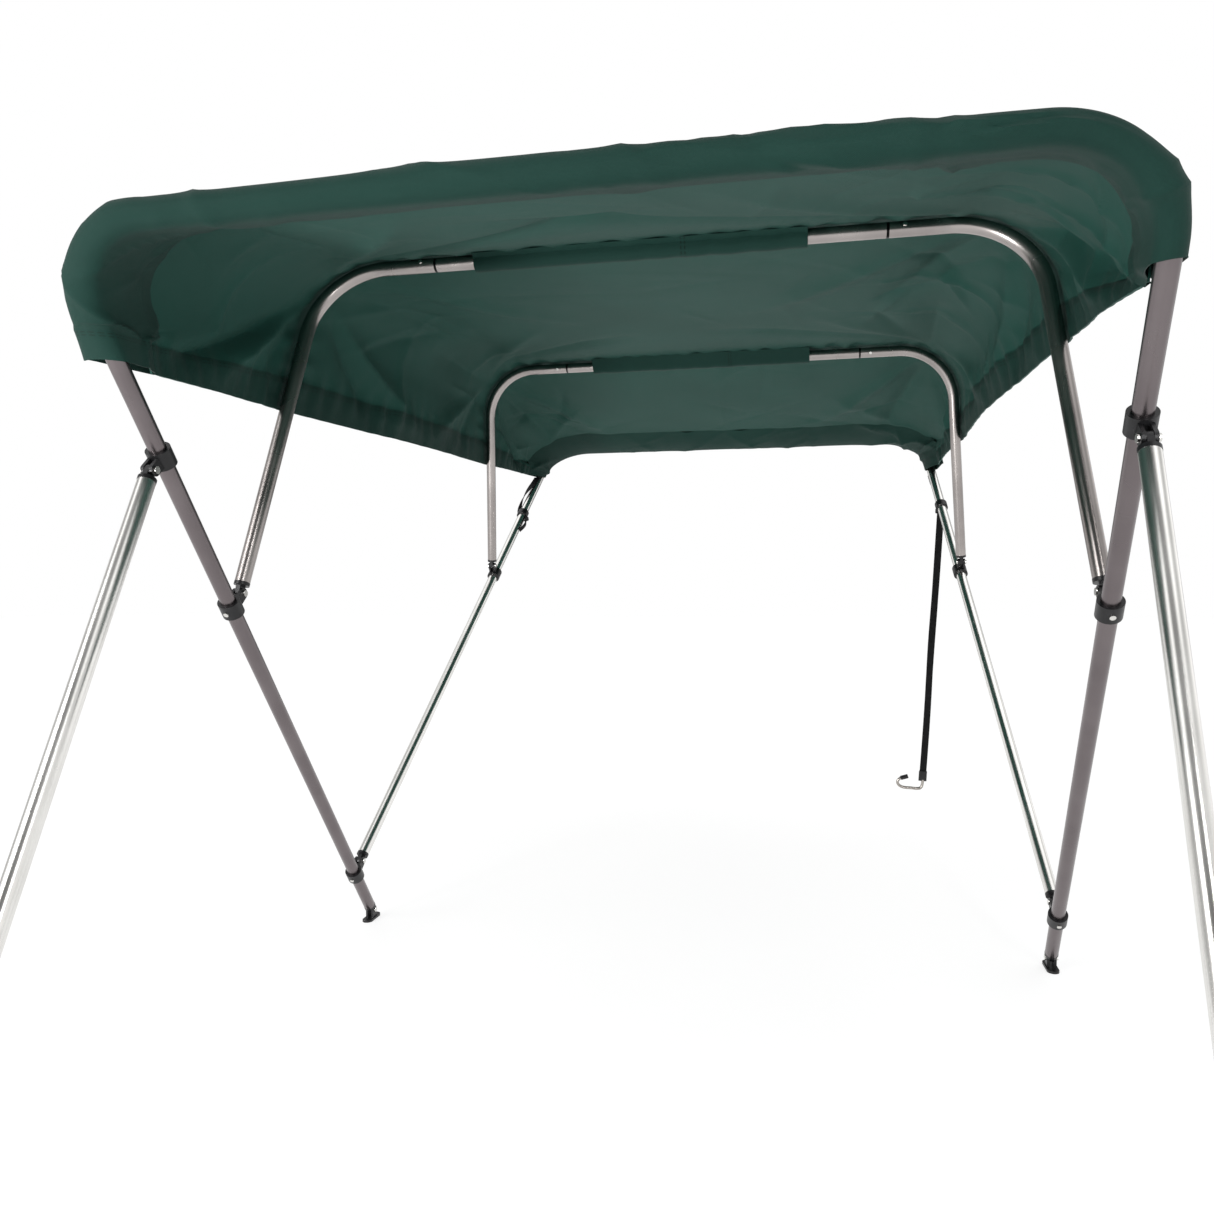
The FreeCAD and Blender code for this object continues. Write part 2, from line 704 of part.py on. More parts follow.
for name, bow, length_cell, has_button in BOWS:
    crossbar(f"{name}_crossbar", bow, has_button)
    for word, side in SIDES:
        side_tube(f"{name}_tube_{word}", bow, length_cell, side, has_button)
        keep(eye_end(bow, side), f"{name}_eye_end_{word}")
        if has_button:
            snap_button(f"{name}_button_{word}", bow, side)

JAWS = (
    ("front_jaw", main, "front_jaw_at", 1, True),
    ("rear_inner_jaw", main, "rear_inner_jaw_at", 1, True),
    ("pole_jaw", main, "pole_jaw_at", -1, False),
    ("front_inner_jaw", front, "front_inner_jaw_at", -1, False),
)
bolts = {"main": [], "front": []}
screws = {"main": [], "front": []}
for name, bow, cell, toward, has_screw in JAWS:
    owner = "main" if bow is main else "front"
    for word, side in SIDES:
        jaw(f"{name}_{word}", bow, side, size(cell), toward, has_screw)
        pivot = bow.leg_frame(side, size(cell), toward * OFFSET)
        bolts[owner].append(cross_bolt(pivot, side))
        if has_screw:
            screws[owner].append(jaw_screw(bow, side, size(cell), toward))
keep(compound(*bolts["main"]), "main_bow_pivot_bolts")
keep(compound(*bolts["front"]), "front_bow_pivot_bolts")
keep(compound(*screws["main"]), "main_bow_jaw_screws")

pins = []
for word, side in SIDES:
    deck_hinge(f"main_deck_hinge_{word}", main, side)
    deck_hinge(f"rear_deck_hinge_{word}", pole, side)
    pins.append(cross_bolt(Placement(main.point(side, 0), Rotation()), side))
    pins.append(cross_bolt(Placement(pole.point(side, 0), Rotation()), side))
keep(compound(*pins), "deck_hinge_pins")


def pole_tube(label, side):
    """Straight support pole between its two eye ends."""
    frame = splayed(pole, side, 0)
    seat = size("flange_end")
    run = pole.length / math.cos(math.radians(pole.splay)) - 2 * seat
    outer = placed_cylinder("Sizes.tube_outer", f"{run} mm", frame, Z_AXIS * seat)
    bore = placed_cylinder("Sizes.tube_bore", f"{run + 4} mm", frame, Z_AXIS * (seat - 2))
    return keep(cut(outer, bore), label)


for word, side in SIDES:
    pole_tube(f"support_pole_{word}", side)
    keep(compound(eye_end(pole, side), eye_end(pole, side, at_top=True)), f"pole_eye_ends_{word}")
    strap_slide(f"strap_slide_{word}", side)

keep(compound(*[corner_tab(side) for _, side in SIDES]), "canopy_corner_tabs")
webbing = placed_box("Sizes.web_width", "Sizes.web_thickness", "Sizes.strap_length", strap_frame(),
                     Vector(-size("web_width") / 2, -size("web_thickness") / 2, 0))
keep(webbing, "right_strap_webbing")
hook("right_strap_hook")
left_tail("left_strap_tail")

SEAM = 0.6
rear_edge = fabric_at(main, "hem_main", SEAM)
rear_inner_edge = fabric_at(rear_inner, "hem_inner", 0)
front_inner_edge = fabric_at(front_inner, "hem_inner", 0)
front_edge = fabric_at(front, "hem_front", -SEAM)
middle_y = (rear_inner_edge[0][3].y + front_inner_edge[0][3].y) / 2
ridge = [middle_outline(a, b, middle_y) for a, b in zip(rear_inner_edge, front_inner_edge)]
panel("canopy_rear_panel", rear_edge, shifted(rear_inner_edge, -SEAM))
panel("canopy_middle_rear_panel", shifted(rear_inner_edge, SEAM), shifted(ridge, -SEAM))
panel("canopy_middle_front_panel", shifted(ridge, SEAM), shifted(front_inner_edge, -SEAM))
panel("canopy_front_panel", shifted(front_inner_edge, SEAM), front_edge)
sleeve("canopy_rear_sleeve", main, "hem_main")
sleeve("canopy_front_sleeve", front, "hem_front")
pocket("canopy_rear_inner_pocket", rear_inner)
pocket("canopy_front_inner_pocket", front_inner)

doc.recompute()
for obj in doc.Objects:
    assert not {"Invalid", "Error"} & set(obj.State), f"{obj.Label}: {obj.State}"
os.makedirs("parts", exist_ok=True)
for obj in PARTS:
    shape = obj.Shape
    assert not shape.isNull(), f"{obj.Label} is empty"
    assert shape.isValid(), f"{obj.Label} is not valid"
    assert shape.Volume > 10, f"{obj.Label} has no volume"
    shape.exportStep(f"parts/{obj.Label}.step")
print(len(PARTS), "sub-parts written")
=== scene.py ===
"""The look of the four-bow bimini top, built round the CAD frame. Metres, +Z up, +Y forward."""
import bpy
import json
import math
import numpy as np
from mathutils import Matrix, Vector


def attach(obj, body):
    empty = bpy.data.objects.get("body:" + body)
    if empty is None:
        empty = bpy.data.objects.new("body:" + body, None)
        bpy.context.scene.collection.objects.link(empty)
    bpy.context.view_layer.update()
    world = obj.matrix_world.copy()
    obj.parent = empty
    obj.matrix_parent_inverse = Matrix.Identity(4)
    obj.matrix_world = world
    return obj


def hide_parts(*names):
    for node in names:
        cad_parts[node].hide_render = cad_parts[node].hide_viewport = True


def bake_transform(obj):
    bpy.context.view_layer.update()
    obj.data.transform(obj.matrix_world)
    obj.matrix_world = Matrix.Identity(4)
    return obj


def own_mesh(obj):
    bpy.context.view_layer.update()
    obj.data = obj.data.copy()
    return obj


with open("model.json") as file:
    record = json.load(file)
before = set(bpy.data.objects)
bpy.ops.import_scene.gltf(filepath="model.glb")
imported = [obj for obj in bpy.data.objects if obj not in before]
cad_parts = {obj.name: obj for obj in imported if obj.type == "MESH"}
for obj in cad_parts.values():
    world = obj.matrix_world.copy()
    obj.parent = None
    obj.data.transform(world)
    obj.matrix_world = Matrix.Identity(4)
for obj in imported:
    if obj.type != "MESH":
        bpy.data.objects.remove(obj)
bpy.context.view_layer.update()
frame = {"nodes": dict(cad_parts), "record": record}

# ------------------------------------------------------------------ sizes of the frame

BEND = 0.140        # bend radius of a bow's corners, at the middle of the tube
TOP_HALF = 0.618    # half the width of a bow at its crossbar


class Bow:
    """A bent tube bow: pivot, lean forward from the vertical, pivot to crossbar, half widths."""

    def __init__(self, body, y, z, lean, length, half_base):
        self.body = body
        self.pivot = np.array([0.0, y, z])
        lean = math.radians(lean)
        self.up = np.array([0.0, math.sin(lean), math.cos(lean)])
        self.forward = np.array([0.0, math.cos(lean), -math.sin(lean)])
        self.length = length
        self.half_base = half_base
        self.splay = math.atan2(half_base - TOP_HALF, length)

    def at(self, x, along, forward=0.0):
        """A point in the bow's plane, x across the boat and along up the bow."""
        x = np.asarray(x, float)[..., None]
        along = np.asarray(along, float)[..., None]
        return self.pivot + x * np.array([1.0, 0, 0]) + along * self.up + forward * self.forward

    def leg_x(self, along):
        return self.half_base + (TOP_HALF - self.half_base) * along / self.length

    def along_at(self, height):
        """Distance up the bow at which it passes a height above the deck."""
        return (height - self.pivot[2]) / self.up[2]


REAR = Bow("main_bow", 0.0, 0.022, -41.5, 1.629, 0.750)
FRONT = Bow("front_bow", -0.08064, 0.16295, 49.9, 1.675, 0.73712)
REAR_INNER = Bow("rear_inner_bow", -0.63260, 0.78683, 19.5, 0.623, 0.66962)
FRONT_INNER = Bow("front_inner_bow", 0.66608, 0.83489, -14.2, 0.562, 0.66572)
BOWS = (REAR, REAR_INNER, FRONT_INNER, FRONT)


# ------------------------------------------------------------------ small tools

def mesh_object(name, points, faces, uvs=None):
    """A smooth mesh piece from points and faces; uvs is one pair for each point."""
    mesh = bpy.data.meshes.new(name)
    mesh.from_pydata([tuple(p) for p in points], [], [tuple(f) for f in faces])
    mesh.validate()
    if uvs is not None:
        layer = mesh.uv_layers.new(name="cloth")
        index = np.empty(len(mesh.loops), dtype=np.int32)
        mesh.loops.foreach_get("vertex_index", index)
        layer.data.foreach_set("uv", np.asarray(uvs, dtype=np.float32)[index].ravel())
    mesh.polygons.foreach_set("use_smooth", [True] * len(mesh.polygons))
    mesh.set_sharp_from_angle(angle=math.radians(50))
    obj = bpy.data.objects.new(name, mesh)
    bpy.context.scene.collection.objects.link(obj)
    return obj


def grid_faces(rows, columns, start=0, flip=False):
    """Quads of a grid stored row by row."""
    r = np.arange(rows - 1)[:, None] * columns
    c = np.arange(columns - 1)[None, :]
    a = (r + c + start).ravel()
    quads = np.stack([a, a + 1, a + columns + 1, a + columns], axis=1)
    return quads[:, ::-1] if flip else quads


def cloth_piece(name, upper, lower, uv):
    """Closed cloth from two matching grids, an outer and an inner skin."""
    rows, columns = upper.shape[:2]
    count = rows * columns
    points = np.concatenate([upper.reshape(-1, 3), lower.reshape(-1, 3)])
    faces = [grid_faces(rows, columns), grid_faces(rows, columns, count, True)]
    rim = list(range(columns))
    rim += [r * columns + columns - 1 for r in range(1, rows)]
    rim += [(rows - 1) * columns + c for c in range(columns - 2, -1, -1)]
    rim += [r * columns for r in range(rows - 2, 0, -1)]
    edge = [(b, a, a + count, b + count) for a, b in zip(rim, rim[1:] + rim[:1])]
    faces = np.concatenate([*faces, np.array(edge)])
    uvs = np.concatenate([uv.reshape(-1, 2), uv.reshape(-1, 2)])
    return mesh_object(name, points, faces, uvs)


def unit(v):
    return v / np.maximum(np.linalg.norm(v, axis=-1, keepdims=True), 1e-9)


def grid_normals(points):
    """Unit normals of a grid of points, rows across the boat and columns along it."""
    across = np.gradient(points, axis=0)
    along = np.gradient(points, axis=1)
    return unit(np.cross(across, along))


# ------------------------------------------------------------------ camera, light and floor

CAMERA_PLACE = (0.2721, -2.0876, 0.8239)
CAMERA_YAW = -12.04
CAMERA_PITCH = -2.28
CAMERA_ROLL = -0.43
CAMERA_LENS = 28.58


def add_camera():
    yaw, pitch, roll = (math.radians(a) for a in (CAMERA_YAW, CAMERA_PITCH, CAMERA_ROLL))
    ahead = Vector((math.sin(yaw) * math.cos(pitch), math.cos(yaw) * math.cos(pitch), math.sin(pitch)))
    level = Vector((math.cos(yaw), -math.sin(yaw), 0.0))
    up = level.cross(ahead)
    right = level * math.cos(roll) + up * math.sin(roll)
    up = right.cross(ahead)
    data = bpy.data.cameras.new("Camera")
    data.lens = CAMERA_LENS
    data.sensor_width = 36.0
    data.clip_end = 100.0
    camera = bpy.data.objects.new("Camera", data)
    axes = Matrix((right, up, -ahead)).transposed()
    camera.matrix_world = Matrix.Translation(CAMERA_PLACE) @ axes.to_4x4()
    bpy.context.scene.collection.objects.link(camera)
    bpy.context.scene.camera = camera


def add_area(name, place, target, size, power):
    """A white rectangular lamp that points at the target."""
    data = bpy.data.lights.new(name, "AREA")
    data.shape = "RECTANGLE"
    data.size, data.size_y = size
    data.energy = power
    lamp = bpy.data.objects.new(name, data)
    lamp.location = place
    lamp.rotation_euler = (Vector(target) - Vector(place)).to_track_quat("-Z", "Y").to_euler()
    bpy.context.scene.collection.objects.link(lamp)


# brightness of the studio round the object and from below to above, as (share of the way, grey level)
SIDE_PANELS = [(0.0, 0.5), (0.08, 1.5), (0.17, 0.25), (0.30, 0.25), (0.40, 1.4), (0.5, 1.1), (0.60, 1.5),
               (0.68, 0.3), (0.80, 0.5), (0.90, 1.3), (1.0, 0.5)]
HEIGHT_PANELS = [(0.0, 0.9), (0.42, 0.9), (0.52, 0.8), (0.62, 1.0), (0.80, 0.55), (0.90, 1.3), (1.0, 1.3)]


def stripes(nodes, links, factor, stops):
    """A colour ramp of grey levels."""
    ramp = nodes.new("ShaderNodeValToRGB")
    ramp.color_ramp.interpolation = "EASE"
    ramp.color_ramp.elements[0].position = stops[0][0]
    ramp.color_ramp.elements[0].color = (*[stops[0][1]] * 3, 1)
    ramp.color_ramp.elements[1].position = stops[-1][0]
    ramp.color_ramp.elements[1].color = (*[stops[-1][1]] * 3, 1)
    for position, level in stops[1:-1]:
        ramp.color_ramp.elements.new(position).color = (level, level, level, 1)
    links.new(factor, ramp.inputs["Fac"])
    return ramp.outputs["Color"]


def add_world():
    """White backdrop; the object is lit by soft white panels with grey gaps between them."""
    world = bpy.data.worlds.new("Studio")
    world.use_nodes = True
    nodes, links = world.node_tree.nodes, world.node_tree.links
    back = nodes["Background"]
    out = nodes["World Output"]
    place = nodes.new("ShaderNodeTexCoord")
    around = nodes.new("ShaderNodeTexGradient")
    around.gradient_type = "RADIAL"
    links.new(place.outputs["Generated"], around.inputs["Vector"])
    split = nodes.new("ShaderNodeSeparateXYZ")
    links.new(place.outputs["Generated"], split.inputs[0])
    lift = nodes.new("ShaderNodeMapRange")
    lift.inputs["From Min"].default_value = -1.0
    links.new(split.outputs["Z"], lift.inputs["Value"])
    side = stripes(nodes, links, around.outputs["Fac"], SIDE_PANELS)
    height = stripes(nodes, links, lift.outputs["Result"], HEIGHT_PANELS)
    mix = nodes.new("ShaderNodeMix")
    mix.data_type = "RGBA"
    mix.blend_type = "MULTIPLY"
    mix.inputs["Factor"].default_value = 1.0
    links.new(side, mix.inputs["A"])
    links.new(height, mix.inputs["B"])
    links.new(mix.outputs["Result"], back.inputs["Color"])
    back.inputs["Strength"].default_value = 0.92
    white = nodes.new("ShaderNodeBackground")
    white.inputs["Color"].default_value = (1, 1, 1, 1)
    seen = nodes.new("ShaderNodeLightPath")
    choose = nodes.new("ShaderNodeMixShader")
    links.new(seen.outputs["Is Camera Ray"], choose.inputs["Fac"])
    links.new(back.outputs[0], choose.inputs[1])
    links.new(white.outputs[0], choose.inputs[2])
    links.new(choose.outputs[0], out.inputs["Surface"])
    bpy.context.scene.world = world


def add_floor():
    """Pale floor that glows a little, so that it stays near white."""
    size = 14.0
    corners = [(-size, -size, 0), (size, -size, 0), (size, size, 0), (-size, size, 0)]
    floor = mesh_object("Floor", corners, [(0, 1, 2, 3)])
    paint = bpy.data.materials.new("Floor")
    paint.use_nodes = True
    shader = paint.node_tree.nodes["Principled BSDF"]
    shader.inputs["Base Color"].default_value = (0.30, 0.30, 0.30, 1)
    shader.inputs["Roughness"].default_value = 0.9
    shader.inputs["Specular IOR Level"].default_value = 0.0
    shader.inputs["Emission Color"].default_value = (1, 1, 1, 1)
    shader.inputs["Emission Strength"].default_value = 0.79
    floor.data.materials.append(paint)
    floor.location.z = -0.0005


def add_studio():
    add_world()
    add_floor()
    add_area("Key", (-2.6, -3.2, 2.6), (0, 0, 1.0), (1.6, 1.2), 45)
    add_area("Low", (-1.9, -3.0, 0.35), (0.2, 0.2, 1.3), (0.4, 0.4), 75)
    add_area("Strip", (1.4, -3.2, 1.6), (0, 0.3, 1.2), (0.35, 2.2), 30)


add_camera()
add_studio()
bpy.context.scene.view_settings.view_transform = "Standard"


# ------------------------------------------------------------------ node material tools

class Paint:
    """A material under construction: short ways to add and link nodes."""

    def __init__(self, name):
        self.material = bpy.data.materials.new(name)
        self.material.use_nodes = True
        self.nodes = self.material.node_tree.nodes
        self.links = self.material.node_tree.links
        self.shader = self.nodes["Principled BSDF"]

    def node(self, kind, **values):
        made = self.nodes.new(kind)
        for key, value in values.items():
            setattr(made, key, value)
        return made

    def link(self, source, target):
        self.links.new(source, target)

    def set(self, **values):
        for key, value in values.items():
            self.shader.inputs[key.replace("_", " ")].default_value = value

    def coordinates(self, kind, scale):
        place = self.node("ShaderNodeTexCoord")
        mapping = self.node("ShaderNodeMapping")
        mapping.inputs["Scale"].default_value = scale
        self.link(place.outputs[kind], mapping.inputs["Vector"])
        return mapping.outputs["Vector"]

    def noise(self, where, scale, detail=2.0):
        made = self.node("ShaderNodeTexNoise")
        made.inputs["Scale"].default_value = scale
        made.inputs["Detail"].default_value = detail
        self.link(where, made.inputs["Vector"])
        return made.outputs["Fac"]

    def ramp(self, factor, stops):
        made = self.node("ShaderNodeValToRGB")
        made.color_ramp.elements[0].position = stops[0][0]
        made.color_ramp.elements[0].color = (*stops[0][1], 1)
        made.color_ramp.elements[1].position = stops[-1][0]
        made.color_ramp.elements[1].color = (*stops[-1][1], 1)
        for position, colour in stops[1:-1]:
            extra = made.color_ramp.elements.new(position)
            extra.color = (*colour, 1)
        self.link(factor, made.inputs["Fac"])
        return made.outputs["Color"]

    def maths(self, operation, a, b=None):
        made = self.node("ShaderNodeMath", operation=operation)
        for socket, value in zip(made.inputs, (a, b)):
            if value is None:
                continue
            if isinstance(value, (int, float)):
                socket.default_value = value
            else:
                self.link(value, socket)
        return made.outputs[0]

    def bump(self, height, strength, distance):
        made = self.node("ShaderNodeBump")
        made.inputs["Strength"].default_value = strength
        made.inputs["Distance"].default_value = distance
        self.link(height, made.inputs["Height"])
        self.link(made.outputs["Normal"], self.shader.inputs["Normal"])


def weave(paint, where, pitch):
    """Height of a plain weave with threads at the pitch given in metres."""
    split = paint.node("ShaderNodeSeparateXYZ")
    paint.link(where, split.inputs[0])
    turns = 2 * math.pi / pitch
    warp = paint.maths("SINE", paint.maths("MULTIPLY", split.outputs[0], turns))
    weft = paint.maths("SINE", paint.maths("MULTIPLY", split.outputs[1], turns))
    return paint.maths("MULTIPLY", warp, weft)


STITCH_TURNS = 700.0            # radians of the stitch pattern in each metre of seam
STITCH_HALF = 0.0011            # half the width of a row of stitches
STITCH_ROWS = (0.0535, 0.0600)  # distance of each row from the hem's edge
THREAD = (0.004, 0.014, 0.011, 1)
CANVAS_PITCH = 0.0016           # from thread to thread of the weave
WEBBING_PITCH = 0.0024


def stitch_lines(paint, uv, places):
    """Dashed rows of stitching at distances from the hem edge; 1 on a stitch."""
    split = paint.node("ShaderNodeSeparateXYZ")
    paint.link(uv, split.inputs[0])
    wave = paint.maths("SINE", paint.maths("MULTIPLY", split.outputs[1], STITCH_TURNS))
    dash = paint.maths("GREATER_THAN", wave, -0.45)
    total = None
    for place in places:
        off = paint.maths("ABSOLUTE", paint.maths("SUBTRACT", split.outputs[0], place))
        line = paint.maths("MULTIPLY", paint.maths("LESS_THAN", off, STITCH_HALF), dash)
        total = line if total is None else paint.maths("MAXIMUM", total, line)
    return total


def canvas_material(name, dark, light):
    """Coated woven canvas with cloudy colour, a fine weave and a soft sheen."""
    paint = Paint(name)
    uv = paint.coordinates("UV", (1, 1, 1))
    place = paint.coordinates("Object", (1, 1, 1))
    cloud = paint.noise(place, 3.0, 4.0)
    fleck = paint.noise(place, 420.0, 2.0)
    mixed = paint.maths("ADD", paint.maths("MULTIPLY", cloud, 0.7), paint.maths("MULTIPLY", fleck, 0.3))
    cloth = paint.ramp(mixed, [(0.3, dark), (0.7, light)])
    thread = stitch_lines(paint, uv, STITCH_ROWS)
    mix = paint.node("ShaderNodeMix", data_type="RGBA")
    paint.link(thread, mix.inputs["Factor"])
    paint.link(cloth, mix.inputs["A"])
    mix.inputs["B"].default_value = THREAD
    paint.link(mix.outputs["Result"], paint.shader.inputs["Base Color"])
    crease = paint.noise(place, 26.0, 5.0)
    rumple = paint.noise(place, 8.0, 4.0)
    height = paint.maths("ADD", paint.maths("MULTIPLY", weave(paint, uv, CANVAS_PITCH), 0.35),
                         paint.maths("MULTIPLY", crease, 1.6))
    height = paint.maths("ADD", height, paint.maths("MULTIPLY", rumple, 4.0))
    height = paint.maths("SUBTRACT", height, thread)
    paint.bump(height, 0.45, 0.0014)
    paint.set(Roughness=0.55, Sheen_Weight=0.02, Sheen_Roughness=0.4, Specular_IOR_Level=0.09)
    return paint.material


SPLICE_AT = 0.392     # distance of a splice from the middle of the boat
SPLICE_HALF = 0.0022  # half the width of its line of painted shade


def tube_material(name, dark, light, rough):
    """Drawn aluminium with small scuffs, and a near-black line of painted shade where the middle tube meets a
    side tube, in place of the shade in the narrow gap there.
    """
    paint = Paint(name)
    place = paint.coordinates("Object", (1, 1, 1))
    cloud = paint.noise(place, 9.0, 3.0)
    metal = paint.ramp(cloud, [(0.3, dark), (0.7, light)])
    split = paint.node("ShaderNodeSeparateXYZ")
    paint.link(place, split.inputs[0])
    across = paint.maths("ABSOLUTE", split.outputs[0])
    # painted shade: a near-black band at each splice stands in for the shadowed gap between the tubes
    away = paint.maths("ABSOLUTE", paint.maths("SUBTRACT", across, SPLICE_AT))
    painted_gap_shade = paint.maths("LESS_THAN", away, SPLICE_HALF)
    mix = paint.node("ShaderNodeMix", data_type="RGBA")
    paint.link(painted_gap_shade, mix.inputs["Factor"])
    paint.link(metal, mix.inputs["A"])
    mix.inputs["B"].default_value = (0.01, 0.01, 0.01, 1)
    paint.link(mix.outputs["Result"], paint.shader.inputs["Base Color"])
    scuff = paint.noise(place, 11.0, 1.5)
    spread = paint.node("ShaderNodeMapRange")
    spread.inputs["From Min"].default_value = 0.35
    spread.inputs["From Max"].default_value = 0.7
    spread.inputs["To Min"].default_value = rough
    spread.inputs["To Max"].default_value = rough + 0.08
    paint.link(scuff, spread.inputs["Value"])
    paint.link(spread.outputs["Result"], paint.shader.inputs["Roughness"])
    paint.set(Metallic=1.0)
    return paint.material


def nylon_material():
    """Moulded black nylon with a fine grain."""
    paint = Paint("BlackNylon")
    place = paint.coordinates("Object", (1, 1, 1))
    grain = paint.noise(place, 900.0, 3.0)
    cloud = paint.noise(place, 60.0, 2.0)
    paint.link(paint.ramp(cloud, [(0.3, (0.004, 0.004, 0.0045)), (0.7, (0.011, 0.011, 0.012))]),
               paint.shader.inputs["Base Color"])
    paint.bump(grain, 0.25, 0.0003)
    paint.set(Roughness=0.36, Specular_IOR_Level=0.35)
    return paint.material


def steel_material(name, colour, rough):
    """Bright stainless steel with fine polishing marks."""
    paint = Paint(name)
    place = paint.coordinates("Object", (1, 1, 1))
    marks = paint.noise(place, 700.0, 2.0)
    low = tuple(0.85 * c for c in colour)
    paint.link(paint.ramp(marks, [(0.35, low), (0.65, colour)]), paint.shader.inputs["Base Color"])
    paint.bump(marks, 0.1, 0.0002)
    paint.set(Metallic=1.0, Roughness=rough)
    return paint.material


def webbing_material():
    """Black woven strap with ribs across its length."""
    paint = Paint("BlackWebbing")
    uv = paint.coordinates("UV", (1, 1, 1))
    place = paint.coordinates("Object", (1, 1, 1))
    cloud = paint.noise(place, 90.0, 3.0)
    paint.link(paint.ramp(cloud, [(0.3, (0.0025, 0.0025, 0.0028)), (0.7, (0.007, 0.007, 0.0075))]),
               paint.shader.inputs["Base Color"])
    paint.bump(weave(paint, uv, WEBBING_PITCH), 0.5, 0.0005)
    paint.set(Roughness=0.6, Specular_IOR_Level=0.12)
    return paint.material


SATIN_TUBE = tube_material("SatinTube", (0.150, 0.130, 0.134), (0.190, 0.166, 0.170), 0.26)
WORN_TUBE = tube_material("WornTube", (0.30, 0.275, 0.265), (0.40, 0.37, 0.355), 0.22)
BRIGHT_TUBE = tube_material("BrightTube", (0.70, 0.69, 0.665), (0.84, 0.83, 0.805), 0.20)
NYLON = nylon_material()
STAINLESS = steel_material("Stainless", (0.72, 0.71, 0.68), 0.2)
HOOK_STEEL = steel_material("HookSteel", (0.42, 0.39, 0.36), 0.25)
CANVAS = canvas_material("GreenCanvas", (0.0098, 0.046, 0.0355), (0.0142, 0.062, 0.0485))
# the same green canvas painted darker, used on the doubled hems, sleeves and pockets: the darkness is painted
# shade
CANVAS_SHADED = canvas_material("GreenCanvasPaintedShade", (0.0058, 0.0262, 0.0205), (0.0082, 0.0350, 0.0272))
WEBBING = webbing_material()

BY_SLOT = {
    "tube_satin": SATIN_TUBE,
    "tube_polished": BRIGHT_TUBE,
    "nylon_black": NYLON,
    "stainless": STAINLESS,
    "hook_steel": HOOK_STEEL,
    "canvas_green": CANVAS,
    # the dark canvas slot takes the canvas with painted shade
    "canvas_dark": CANVAS_SHADED,
    "webbing_black": WEBBING,
}


def dress_cad_nodes():
    """Give every CAD node the material of its slot; the inner bows' tubes are more worn."""
    for part in frame["record"]["subparts"]:
        node = frame["nodes"][part["node"]]
        material = BY_SLOT[part["material_slot"]]
        if "_inner_tube" in part["node"] or "_inner_crossbar" in part["node"]:
            material = WORN_TUBE
        for slot in node.material_slots:
            slot.material = material
        if not node.material_slots:
            node.data.materials.append(material)


dress_cad_nodes()


# ------------------------------------------------------------------ canopy surface

OFFSET = 0.0196       # middle of a tube to the canopy over it
THICK = 0.0012
HEM_WIDE = 0.065
HEM_EXTRA = 0.0022    # added thickness of the doubled hem
HEM_HALF = 1.02       # half the length over which the hem's height changes
HEM_MEAN = 1.12       # height at which a leg's place along the hem is read
LEG_LEAST = 0.012     # least length of leg between the hem and the bend


def hem_height(side, y):
    """Height of the canopy's lower edge; it arches up a little on the right."""
    share = np.clip((y + HEM_HALF) / (2 * HEM_HALF), 0, 1)
    if side < 0:
        return 1.103 + 0.033 * share
    return 1.132 - 0.008 * share + 0.052 * (4 * share * (1 - share)) ** 1.2


# rows of the cloth grid across the boat: hem, leg and bend on each side, and the crossbar
HEM_ROWS, LEG_ROWS, BEND_ROWS, BAR_ROWS = 5, 18, 44, 120


def across_profile(bow, offset):
    """Points and outward directions of a curve outside a bow, from the left hem to the right."""
    radius = BEND + offset
    tangent = BEND * math.tan((math.pi / 2 - bow.splay) / 2)
    centre_x = TOP_HALF - tangent
    centre_z = bow.length - BEND
    halves = []
    for side in (-1, 1):
        start_x = centre_x + radius * math.cos(bow.splay)
        start_z = centre_z + radius * math.sin(bow.splay)
        y_low = (bow.pivot + bow.up * bow.along_at(HEM_MEAN))[1]
        low = bow.along_at(hem_height(side, y_low))
        hem_top = min(low + HEM_WIDE, start_z - LEG_LEAST)
        xs, zs = [], []
        for a, b, n in ((low, hem_top, HEM_ROWS), (hem_top, start_z, LEG_ROWS)):
            z = np.linspace(a, b, n, endpoint=False)
            xs.append(start_x + (start_z - z) * math.tan(bow.splay))
            zs.append(z)
        outward_leg = np.array([math.cos(bow.splay), math.sin(bow.splay)])
        dirs = [np.tile(outward_leg, (HEM_ROWS + LEG_ROWS, 1))]
        angle = np.linspace(bow.splay, math.pi / 2, BEND_ROWS, endpoint=False)
        xs.append(centre_x + radius * np.cos(angle))
        zs.append(centre_z + radius * np.sin(angle))
        dirs.append(np.stack([np.cos(angle), np.sin(angle)], axis=1))
        x = np.concatenate(xs) * side
        z = np.concatenate(zs)
        d = np.concatenate(dirs) * np.array([side, 1.0])
        halves.append((x, z, d))
    bar_x = np.linspace(-centre_x, centre_x, BAR_ROWS)
    bar_z = np.full(BAR_ROWS, bow.length + offset)
    bar_d = np.tile(np.array([0.0, 1.0]), (BAR_ROWS, 1))
    (lx, lz, ld), (rx, rz, rd) = halves
    x = np.concatenate([lx, bar_x, rx[::-1]])
    z = np.concatenate([lz, bar_z, rz[::-1]])
    d = np.concatenate([ld, bar_d, rd[::-1]])
    return bow.at(x, z), d[:, :1] * np.array([1.0, 0, 0]) + d[:, 1:] * bow.up


def arc_length(points):
    """Distance along a line of points, from its first one."""
    step = np.linalg.norm(np.diff(points, axis=0), axis=1)
    return np.concatenate([[0], np.cumsum(step)])


PROFILES = [across_profile(bow, OFFSET) for bow in BOWS]
ROWS = len(PROFILES[0][0])
ACROSS = arc_length(PROFILES[1][0])
TOTAL = ACROSS[-1]


